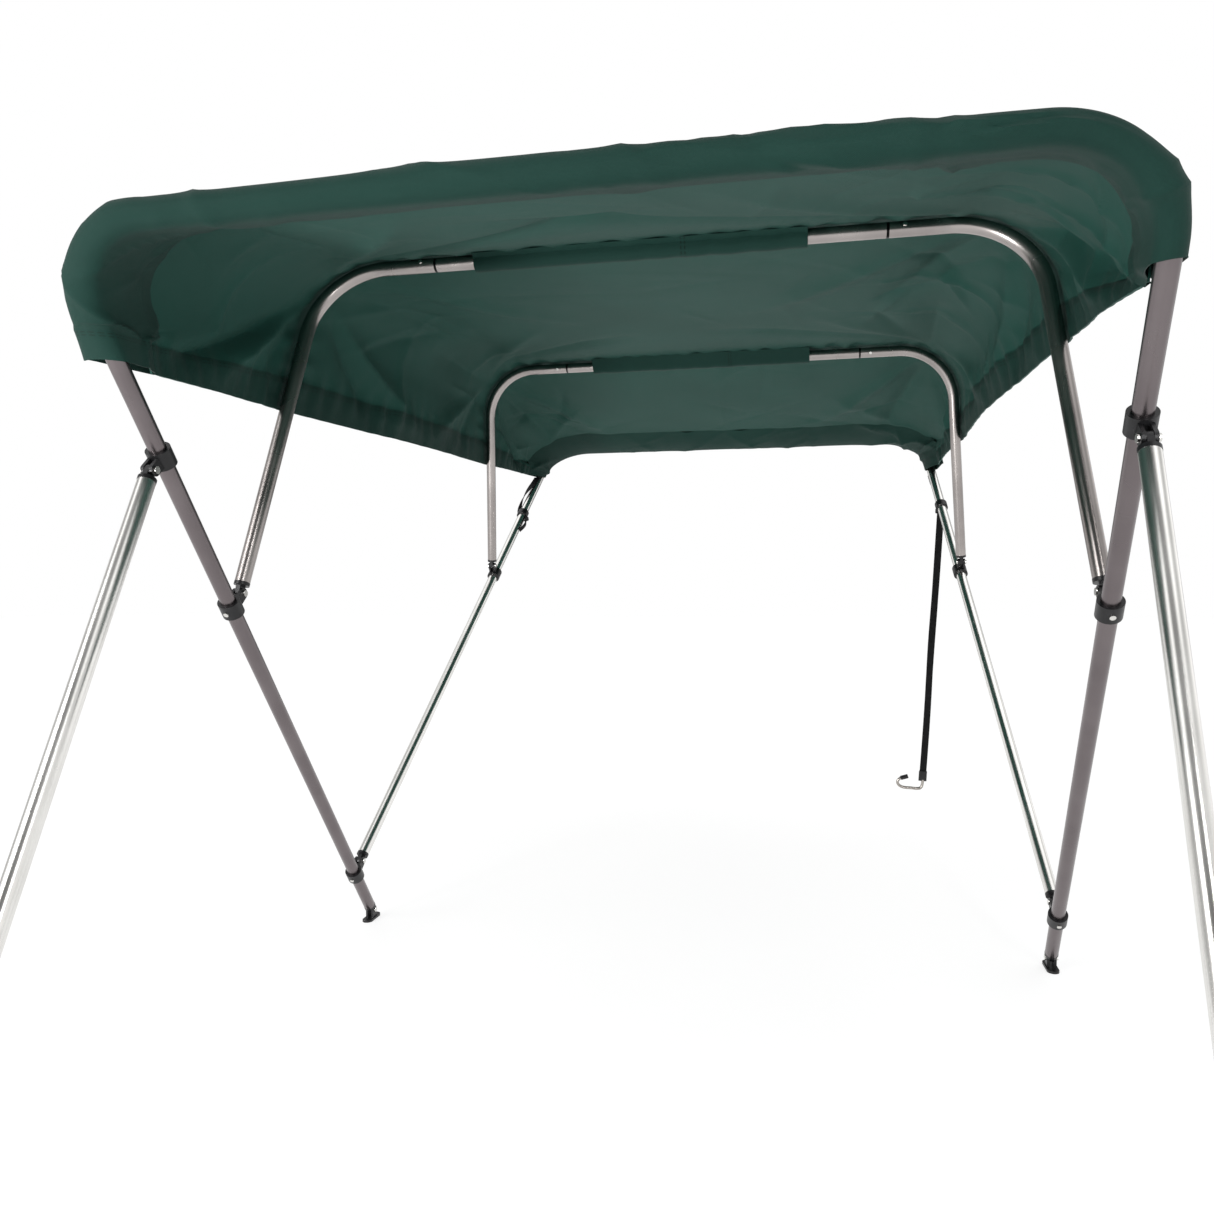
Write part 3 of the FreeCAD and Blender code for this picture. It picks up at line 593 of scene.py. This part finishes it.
def fold_height(s, t, folds):
    """Sum of soft ridges; each fold runs between two points of the flat cloth."""
    total = np.zeros(np.broadcast(s, t).shape)
    for (s0, t0), (s1, t1), height, wide in folds:
        ds, dt = s1 - s0, t1 - t0
        length = math.hypot(ds, dt)
        along = ((s - s0) * ds + (t - t0) * dt) / length ** 2
        away = ((s - s0) * dt - (t - t0) * ds) / length
        spread = wide * (0.6 + 0.9 * np.clip(along, 0, 1))
        fade = np.clip(along * 4, 0, 1) * np.clip((1.05 - along) * 3, 0, 1)
        fade = np.where((along > 0) & (along < 1.05), fade, 0)
        ridge = 0.6 * np.exp(-(away / spread) ** 2) + 0.4 * np.exp(-np.abs(away) / (0.55 * spread))
        total += height * fade * ridge
    return total


def ripples(s, t, seed):
    """Small lasting unevenness of the cloth."""
    rng = np.random.default_rng(seed)
    total = np.zeros(np.broadcast(s, t).shape)
    for _ in range(14):
        a, b = rng.uniform(-9, 9, 2)
        phase = rng.uniform(0, 6.28)
        size = 0.0016 / (1 + 0.15 * math.hypot(a, b))
        total += size * np.sin(a * s + b * t + phase)
    return total


def puckers(s, t, gap, seed):
    """Small tucks drawn in by the stitching, along both hems and along the sewn ends."""
    rng = np.random.default_rng(seed + 100)
    total = np.zeros(np.broadcast(s, t).shape)
    from_hem = np.minimum(s, TOTAL - s)
    from_end = np.minimum(t, gap - t)
    at_hem = 0.0009 * np.exp(-((from_hem - 0.055) / 0.045) ** 2)
    at_end = 0.0009 * np.exp(-((from_end - 0.02) / 0.05) ** 2)
    for _ in range(9):
        pitch = rng.uniform(55, 150)
        phase, slant = rng.uniform(0, 6.28), rng.uniform(-30, 30)
        total += at_hem * np.sin(t * pitch + from_hem * slant + phase)
        total += at_end * np.sin(s * pitch + from_end * slant + phase)
    return total


def crumple(s, t, seed):
    """Sharp creases left in the cloth from folding, crossing each other at all angles."""
    rng = np.random.default_rng(seed + 200)
    total = np.zeros(np.broadcast(s, t).shape)
    for _ in range(54):
        s0, t0 = rng.uniform(0, TOTAL), rng.uniform(0, 1.0)
        turn = rng.uniform(0, math.pi)
        reach, wide = rng.uniform(0.06, 0.20), rng.uniform(0.010, 0.022)
        along = (s - s0) * math.cos(turn) + (t - t0) * math.sin(turn)
        away = (s - s0) * math.sin(turn) - (t - t0) * math.cos(turn)
        side = 1 + 1.6 * np.abs(np.minimum(s, TOTAL - s) < 0.42)
        height = rng.choice([-1, 1]) * rng.uniform(0.0020, 0.0044)
        total += height * side * np.exp(-(along / reach) ** 2) * np.exp(-np.abs(away) / wide)
    return total


def panel_grid(first, second, start, end, columns, sag, folds, seed):
    """Cloth between two bows, as points, outward directions and flat coordinates."""
    p0, n0 = PROFILES[first]
    p1, n1 = PROFILES[second]
    gap = np.linalg.norm(p1 - p0, axis=1).mean()
    f = np.linspace(start, end, columns)[None, :, None]
    points = p0[:, None] * (1 - f) + p1[:, None] * f
    normals = unit(n0[:, None] * (1 - f) + n1[:, None] * f)
    s = np.broadcast_to(ACROSS[:, None], points.shape[:2])
    t = np.broadcast_to((f[..., 0] * gap), points.shape[:2])
    inner = np.sin(math.pi * np.clip(f[..., 0], 0, 1)) ** 0.8
    dip = -sag * inner
    hold = np.clip(np.minimum(f[..., 0], 1 - f[..., 0]) * gap / 0.02, 0, 1)
    move = dip + inner * (fold_height(s, t, folds) + ripples(s, t, seed) + crumple(s, t, seed))
    move = move + hold * puckers(s, t, gap, seed)
    points = points + normals * move[..., None]
    return points, np.stack([np.minimum(s, TOTAL - s), t], axis=-1)


def thickness(columns):
    """Cloth thickness on the grid: doubled along the two hems."""
    thick = np.full((ROWS, columns), THICK)
    thick[:HEM_ROWS + 1] += HEM_EXTRA
    thick[-HEM_ROWS - 1:] += HEM_EXTRA
    return thick[..., None]


def panel(name, first, second, start, end, columns, sag, folds, seed):
    """A canopy panel between two bows, from the share start to the share end of the way."""
    points, uv = panel_grid(first, second, start, end, columns, sag, folds, seed)
    normal = grid_normals(points)
    if normal[ROWS // 2, columns // 2, 2] < 0:
        normal = -normal
    half = thickness(columns) / 2
    obj = cloth_piece(name, points + normal * half, points - normal * half, uv)
    obj.data.materials.append(CANVAS)
    # second material: the canvas with painted shade, put on the hem rows below
    obj.data.materials.append(CANVAS_SHADED)
    cells = (ROWS - 1) * (columns - 1)
    for face in obj.data.polygons:
        row = (face.index % cells) // (columns - 1)
        if face.index < 2 * cells and (row < HEM_ROWS or row >= ROWS - 1 - HEM_ROWS):
            face.material_index = 1
    return obj


BEND_AT = 0.25  # distance of a bow's bend from the hem, along the cloth


def fan(centre, targets, height, wide):
    """Folds that spread from one point of the cloth, ridge and hollow by turns."""
    swing = (1.0, -0.85, 0.75, -0.7, 0.9, -0.8)
    return [(centre, target, height * k, wide) for k, target in zip(swing, targets)]


def both_sides(centre, targets, height, wide):
    """The same fan on the left and, a little changed, on the right."""
    right = [(TOTAL - s * 1.1, t * 0.97) for s, t in targets]
    return fan(centre, targets, height, wide) + fan((TOTAL - centre[0], centre[1]), right, height, wide * 1.1)


REAR_FOLDS = both_sides((BEND_AT, 0.66),
                        [(0.02, 0.15), (0.02, 0.34), (0.05, 0.52), (0.62, 0.20), (0.95, 0.30)],
                        0.020, 0.026)
MIDDLE_FOLDS = both_sides((BEND_AT, 0.03), [(0.02, 0.32), (0.03, 0.50), (0.36, 0.46), (0.62, 0.50)],
                          0.019, 0.026)
MIDDLE_FOLDS += both_sides((BEND_AT, 0.93),
                           [(0.02, 0.76), (0.02, 0.56), (0.26, 0.50), (0.5, 0.56), (0.72, 0.66)],
                           0.019, 0.026)
FRONT_FOLDS = both_sides((BEND_AT, 0.03), [(0.02, 0.45), (0.02, 0.26), (0.30, 0.60), (0.52, 0.60)],
                         0.018, 0.024)
FRONT_FOLDS += both_sides((0.18, 0.66), [(0.04, 0.25), (0.45, 0.30), (0.60, 0.42)], 0.012, 0.022)

SLEEVE_WIDE = 0.150
SLEEVE_LAP = 0.030  # how far a panel reaches in under a sleeve
rear_gap = np.linalg.norm(PROFILES[1][0] - PROFILES[0][0], axis=1).mean()
front_gap = np.linalg.norm(PROFILES[3][0] - PROFILES[2][0], axis=1).mean()
rear_start = (SLEEVE_WIDE - SLEEVE_LAP) / rear_gap
front_end = 1 - (SLEEVE_WIDE - SLEEVE_LAP) / front_gap

rear_panel = panel("canopy_rear", 0, 1, rear_start, 1.0, 76, 0.012, REAR_FOLDS, 3)
middle_rear = panel("canopy_middle_rear", 1, 2, 0.0, 0.5, 50, 0.016, MIDDLE_FOLDS, 5)
middle_front = panel("canopy_middle_front", 1, 2, 0.5, 1.0, 50, 0.016, MIDDLE_FOLDS, 5)
front_panel = panel("canopy_front", 2, 3, 0.0, front_end, 76, 0.012, FRONT_FOLDS, 7)


def follow_both(piece):
    """Bakes the piece's placement into its mesh; it stays where it was built and is tied to neither bow."""
    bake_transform(piece)


follow_both(rear_panel)
follow_both(front_panel)
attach(middle_rear, "rear_inner_bow")
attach(middle_front, "front_inner_bow")
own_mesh(middle_rear)
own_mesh(middle_front)
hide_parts("canopy_rear_panel")
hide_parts("canopy_middle_rear_panel")
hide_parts("canopy_middle_front_panel")
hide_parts("canopy_front_panel")


# ------------------------------------------------------------------ sleeves round the outer bows

def by_row(values):
    """Values at the hem, bend start, bend end, bar middle and so on, read at every row."""
    low = HEM_ROWS + LEG_ROWS
    stops = [0, low, low + BEND_ROWS, ROWS // 2, ROWS - 1 - low - BEND_ROWS, ROWS - 1 - low, ROWS - 1]
    return np.interp(ACROSS, ACROSS[stops], values)


SEAM_LIFT = 0.0206  # middle of the tube to the seam on the canopy
BELOW_TUBE = 0.0165
PAST_TUBE = 0.0175


def sleeve(name, bow, neighbour, wide, stand_off, seed):
    """Flat cloth pocket folded round an outer bow and sewn to the canopy along its inner edge."""
    axis, out = across_profile(bow, 0.0)
    near = PROFILES[BOWS.index(bow)][0]
    far = PROFILES[BOWS.index(neighbour)][0]
    tangent = unit(np.gradient(axis, axis=0))
    inward = unit(far - near)
    normal = unit(np.cross(tangent, inward))
    normal = normal * np.sign((normal * out).sum(1, keepdims=True))
    rng = np.random.default_rng(seed)
    waves = rng.uniform(18, 75, 9)
    pucker = sum(rng.uniform(0.3, 1.0) * np.sin(ACROSS * k + rng.uniform(0, 6.28)) for k in waves) / 3.5
    columns = []
    for x in np.linspace(1.0, 0.0, 13)[:-1]:
        lift = SEAM_LIFT + (stand_off - SEAM_LIFT) * (1 - x) ** 0.8
        columns.append((wide * x, lift + 0.002 * pucker * x * (1 - x) * 4))
    for turn in np.linspace(0, math.pi, 17):
        middle = (stand_off - BELOW_TUBE) / 2
        half = (stand_off + BELOW_TUBE) / 2
        columns.append((np.full(ROWS, -PAST_TUBE * math.sin(turn)), middle + half * math.cos(turn)))
    for x in np.linspace(0.0, 1.0, 15)[1:]:
        sag = -BELOW_TUBE + (BELOW_TUBE + 0.0166) * x ** 1.25
        crimp = 0.0065 * pucker * x ** 2 * (1 - 0.4 * x)
        columns.append((wide * x + 0.009 * pucker * x ** 4, sag + crimp - 0.004 * math.sin(math.pi * x)))
    strands = [axis + inward * x[:, None] + normal * np.reshape(h, (-1, 1)) for x, h in columns]
    points = np.stack(strands, axis=1)
    steps = np.linalg.norm(np.diff(points, axis=1), axis=2).mean(0)
    flat = np.concatenate([[0], np.cumsum(steps)])
    uv = np.stack(np.broadcast_arrays(np.minimum(ACROSS, TOTAL - ACROSS)[:, None], flat[None, :]), axis=-1)
    surface = grid_normals(points)
    surface = surface * np.sign(((points - axis[:, None]) * surface).sum(-1).mean())
    creased = np.abs(crumple(ACROSS[:, None], flat[None, :] * 2.2, seed))
    points = points + surface * creased[..., None]
    obj = cloth_piece(name, points + surface * THICK, points, uv)
    # the sleeve wears the canvas with painted shade
    obj.data.materials.append(CANVAS_SHADED)
    return obj


# width of the sleeves and how far they stand off the tube, from the left hem to the right
REAR_WIDE = by_row([0.105, 0.150, 0.165, 0.155, 0.175, 0.165, 0.105])
REAR_OUT = by_row([0.038, 0.034, 0.0175, 0.0215, 0.0160, 0.0155, 0.0170])
FRONT_WIDE = by_row([0.10, 0.13, 0.12, 0.10, 0.12, 0.13, 0.10])
FRONT_OUT = by_row([0.020, 0.018, 0.0175, 0.0175, 0.0175, 0.018, 0.020])
rear_sleeve = sleeve("canopy_rear_hem_sleeve", REAR, REAR_INNER, REAR_WIDE, REAR_OUT, 11)
front_sleeve = sleeve("canopy_front_hem_sleeve", FRONT, FRONT_INNER, FRONT_WIDE, FRONT_OUT, 12)
follow_both(rear_sleeve)
follow_both(front_sleeve)
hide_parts("canopy_rear_sleeve")
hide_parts("canopy_front_sleeve")


# ------------------------------------------------------------------ pockets under the inner bows

POCKET_LEFT, POCKET_RIGHT = 0.317, 0.264  # its ends, from the middle of the boat
WALL_OUT, WALL_LEAN = 0.0160, 0.010       # a wall's distance from the tube's middle, and its slope out
TUBE_TURN = 0.0150                        # half the width of the round part under the tube
TURN_BELOW = 0.002                        # start of that part, below the tube's middle


def pocket(name, bow, drop, rear_top, front_top, seed):
    """Cloth tunnel sewn under the canopy, carrying the middle of an inner bow.

    The tops are the heights at which its rear and front walls meet the canopy.
    """
    rows = 70
    rng = np.random.default_rng(seed)
    x = np.linspace(-POCKET_LEFT, POCKET_RIGHT, rows)
    waves = rng.uniform(15, 70, 7)
    wave = sum(rng.uniform(0.4, 1.0) * np.sin(x * k + rng.uniform(0, 6.28)) for k in waves) / 3
    section = []
    for share in np.linspace(1, 0, 6):
        section.append((-WALL_OUT - WALL_LEAN * share, -TURN_BELOW + (rear_top + TURN_BELOW) * share))
    for turn in np.linspace(0, math.pi, 13)[1:-1]:
        section.append((-TUBE_TURN * math.cos(turn), -TURN_BELOW - drop * math.sin(turn)))
    for share in np.linspace(0, 1, 6):
        section.append((WALL_OUT + WALL_LEAN * share, -TURN_BELOW + (front_top + TURN_BELOW) * share))
    points = np.empty((rows, len(section), 3))
    for j, (f, h) in enumerate(section):
        loose = 0.0018 * wave * (1 if h < 0 else 0.4)
        points[:, j] = bow.at(x, np.full(rows, bow.length) + h - abs(loose), 0.0) + bow.forward * f
    steps = np.linalg.norm(np.diff(points, axis=1), axis=2).mean(0)
    flat = np.concatenate([[0], np.cumsum(steps)])
    uv = np.stack(np.broadcast_arrays(x[:, None], flat[None, :]), axis=-1)
    surface = grid_normals(points)
    centre = bow.at(x, np.full(rows, bow.length))[:, None]
    surface = surface * np.sign(((points - centre) * surface).sum(-1).mean())
    obj = cloth_piece(name, points + surface * THICK, points, uv)
    # the pocket wears the canvas with painted shade
    obj.data.materials.append(CANVAS_SHADED)
    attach(obj, bow.body)
    return obj


rear_pocket = pocket("canopy_pocket_rear_inner", REAR_INNER, 0.015, 0.001, 0.0245, 21)
front_pocket = pocket("canopy_pocket_front_inner", FRONT_INNER, 0.015, 0.0235, 0.0035, 22)
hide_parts("canopy_rear_inner_pocket")
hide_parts("canopy_front_inner_pocket")


# ------------------------------------------------------------------ straps and hook

WEB_WIDE = 0.020
WEB_THICK = 0.0020
SLIDE_ALONG = 1.302  # pivot of the front bow to the strap slides
STRAP_LENGTH = 0.786
# directions of the hanging strap, down its length and across its width
STRAP_DOWN = np.array([-0.05234, 0.05270, -0.99724])
STRAP_ACROSS = np.array([0.99863, 0.00276, -0.05226])


def smooth_line(points, steps=12):
    """Points read from a smooth NURBS line that has these control points."""
    curve = bpy.data.curves.new("Route", "CURVE")
    curve.dimensions = "3D"
    curve.resolution_u = steps
    spline = curve.splines.new("NURBS")
    spline.points.add(len(points) - 1)
    for made, place in zip(spline.points, points):
        made.co = (*[float(v) for v in place], 1.0)
    spline.order_u = 3
    spline.use_endpoint_u = True
    carrier = bpy.data.objects.new("Route", curve)
    mesh = bpy.data.meshes.new_from_object(carrier)
    line = np.array([tuple(v.co) for v in mesh.vertices])
    bpy.data.objects.remove(carrier)
    bpy.data.meshes.remove(mesh)
    return line


def swept(name, line, across, wide, thick, square=0.35, closed=False, sides=20):
    """A closed bar along a line; across is the direction of its width at every point."""
    if closed:
        tangent = unit(np.roll(line, -1, axis=0) - np.roll(line, 1, axis=0))
    else:
        tangent = unit(np.gradient(line, axis=0))
    across = unit(across - tangent * (across * tangent).sum(1, keepdims=True))
    normal = np.cross(tangent, across)
    angle = np.linspace(0, 2 * math.pi, sides, endpoint=False)
    x = np.sign(np.cos(angle)) * np.abs(np.cos(angle)) ** square * wide / 2
    y = np.sign(np.sin(angle)) * np.abs(np.sin(angle)) ** square * thick / 2
    points = line[:, None] + across[:, None] * x[None, :, None] + normal[:, None] * y[None, :, None]
    rows = len(line)
    faces = []
    for r in range(rows if closed else rows - 1):
        after = (r + 1) % rows
        for c in range(sides):
            d = (c + 1) % sides
            faces.append((r * sides + c, r * sides + d, after * sides + d, after * sides + c))
    if not closed:
        faces.append(tuple(range(sides - 1, -1, -1)))
        faces.append(tuple((rows - 1) * sides + c for c in range(sides)))
    run = np.concatenate([[0], np.cumsum(np.linalg.norm(np.diff(line, axis=0), axis=1))])
    uv = np.stack(np.broadcast_arrays(x[None, :], run[:, None]), axis=-1).reshape(-1, 2)
    return mesh_object(name, points.reshape(-1, 3), faces, uv)


class Leg:
    """Frame on a leg of the front bow at the strap slide: across, forward and up the leg."""

    def __init__(self, side):
        x = side * FRONT.leg_x(SLIDE_ALONG)
        self.centre = FRONT.at(np.array(x), np.array(SLIDE_ALONG)).reshape(3)
        lean = side * FRONT.splay
        right = np.array([1.0, 0.0, 0.0])
        self.up = FRONT.up * math.cos(lean) - right * math.sin(lean)
        self.across = right * math.cos(lean) + FRONT.up * math.sin(lean)
        self.forward = FRONT.forward

    def place(self, points):
        points = np.asarray(points, float)
        return self.centre + points @ np.stack([self.across, self.forward, self.up])


def finish_webbing(obj):
    obj.data.materials.append(WEBBING)
    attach(obj, "front_bow")
    return obj


def slide_loop(name, leg):
    """Webbing folded round the outer bar of the slide's slot."""
    count = 28
    turn = np.linspace(0, 2 * math.pi, count, endpoint=False)
    forward = 0.0220 + 0.0031 * np.sign(np.cos(turn)) * np.abs(np.cos(turn)) ** 0.6
    up = 0.0056 * np.sign(np.sin(turn)) * np.abs(np.sin(turn)) ** 0.6
    line = leg.place(np.stack([np.zeros(count), forward, up], axis=1))
    across = np.tile(leg.across, (count, 1))
    return finish_webbing(swept(name, line, across, WEB_WIDE, 0.0014, closed=True))


def corner_tab(name, leg, route, facing):
    """Twisted webbing from the slide up to the canopy corner; facing is its turn at each route point."""
    line = smooth_line(leg.place(route))
    share = np.linspace(0, 1, len(line))
    angle = np.radians(np.interp(share, np.linspace(0, 1, len(facing)), facing))[:, None]
    across = leg.across * np.cos(angle) + leg.forward * np.sin(angle)
    return finish_webbing(swept(name, line, across, WEB_WIDE, WEB_THICK))


left_leg, right_leg = Leg(-1), Leg(1)
slide_loop("strap_loop_left", left_leg)
slide_loop("strap_loop_right", right_leg)
# routes of the corner tabs up from the slides, as across, forward and up the leg
LEFT_TAB = [(-0.004, 0.0225, 0.006), (-0.017, 0.0165, 0.016), (-0.0215, 0.002, 0.038),
            (-0.0185, -0.0115, 0.075), (-0.009, -0.0185, 0.115), (-0.001, -0.0180, 0.150),
            (0.0, -0.0170, 0.180)]
RIGHT_TAB = [(0.0, 0.0225, 0.006), (0.0, 0.0250, 0.040), (0.0, 0.0262, 0.075), (0.0, 0.0215, 0.115),
             (0.0, 0.0165, 0.150), (0.0, 0.0160, 0.180)]
left_tab = corner_tab("corner_tab_left", left_leg, LEFT_TAB, [0, 40, 85, 120, 155, 178, 180])
corner_tab("corner_tab_right", right_leg, RIGHT_TAB, [0, 50, 85, 60, 15, 0])
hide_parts("canopy_corner_tabs")

strap_start = right_leg.centre + right_leg.forward * 0.0255
hang = [(0.0, 0.0, 0.0), (0.001, 0.0015, 0.20), (-0.002, 0.003, 0.42), (0.0015, 0.001, 0.62),
        (0.0, 0.0, STRAP_LENGTH)]
strap_back = np.cross(STRAP_DOWN, STRAP_ACROSS)
strap_axes = np.stack([STRAP_ACROSS, strap_back, STRAP_DOWN])
strap_line = smooth_line([strap_start + np.array(p) @ strap_axes for p in hang], 24)
share_down = np.linspace(0, 1, len(strap_line))
turning = np.radians(np.interp(share_down, [0, 0.25, 0.6, 1], [0, 24, -14, 0]))[:, None]
strap_facing = STRAP_ACROSS * np.cos(turning) + strap_back * np.sin(turning)
strap = finish_webbing(swept("right_strap", strap_line, strap_facing, WEB_WIDE, WEB_THICK))
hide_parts("right_strap_webbing")

tail_route = [(0.0135, 0.0, -0.0118), (0.0190, 0.001, -0.030), (0.0235, 0.002, -0.048),
              (0.0205, 0.001, -0.066), (0.0145, 0.0, -0.0825)]
tail_line = smooth_line(left_leg.place(tail_route))
tail = finish_webbing(swept("left_tail", tail_line, np.tile(left_leg.forward, (len(tail_line), 1)),
                            0.7 * WEB_WIDE, WEB_THICK))
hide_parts("left_strap_tail")


def hook_line(points):
    """Smooth line of the hook; points are across the strap and below the ferrule, in metres."""
    low = STRAP_LENGTH + 0.0304
    return smooth_line([strap_start + STRAP_ACROSS * x + STRAP_DOWN * (low + z) for x, z in points], 10)


def add_hook():
    """Black ferrule, bent steel bar and its black tip."""
    ends = [strap_start + STRAP_DOWN * (STRAP_LENGTH + z) for z in np.linspace(0.0002, 0.0302, 9)]
    ferrule = swept("strap_ferrule", np.array(ends), np.tile(STRAP_ACROSS, (9, 1)), 0.0235, 0.0088, 0.3)
    ferrule.data.materials.append(NYLON)
    bend = [(0.001, -0.004), (0.001, 0.010), (-0.003, 0.0235), (-0.016, 0.0262), (-0.034, 0.0250),
            (-0.052, 0.0262), (-0.067, 0.0215), (-0.0745, 0.0105), (-0.068, -0.0015), (-0.056, -0.0060),
            (-0.043, -0.0110)]
    line = hook_line(bend)
    bar = swept("strap_hook_bar", line, np.tile(strap_back, (len(line), 1)), 0.0110, 0.0084, 0.8)
    bar.data.materials.append(HOOK_STEEL)
    last = line[int(len(line) * 0.86):]
    tip = swept("strap_hook_tip", last, np.tile(strap_back, (len(last), 1)), 0.0140, 0.0125, 0.8)
    tip.data.materials.append(NYLON)
    for piece in (ferrule, bar, tip):
        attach(piece, "front_bow")
    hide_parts("right_strap_hook")
    return [ferrule, bar, tip]


add_hook()
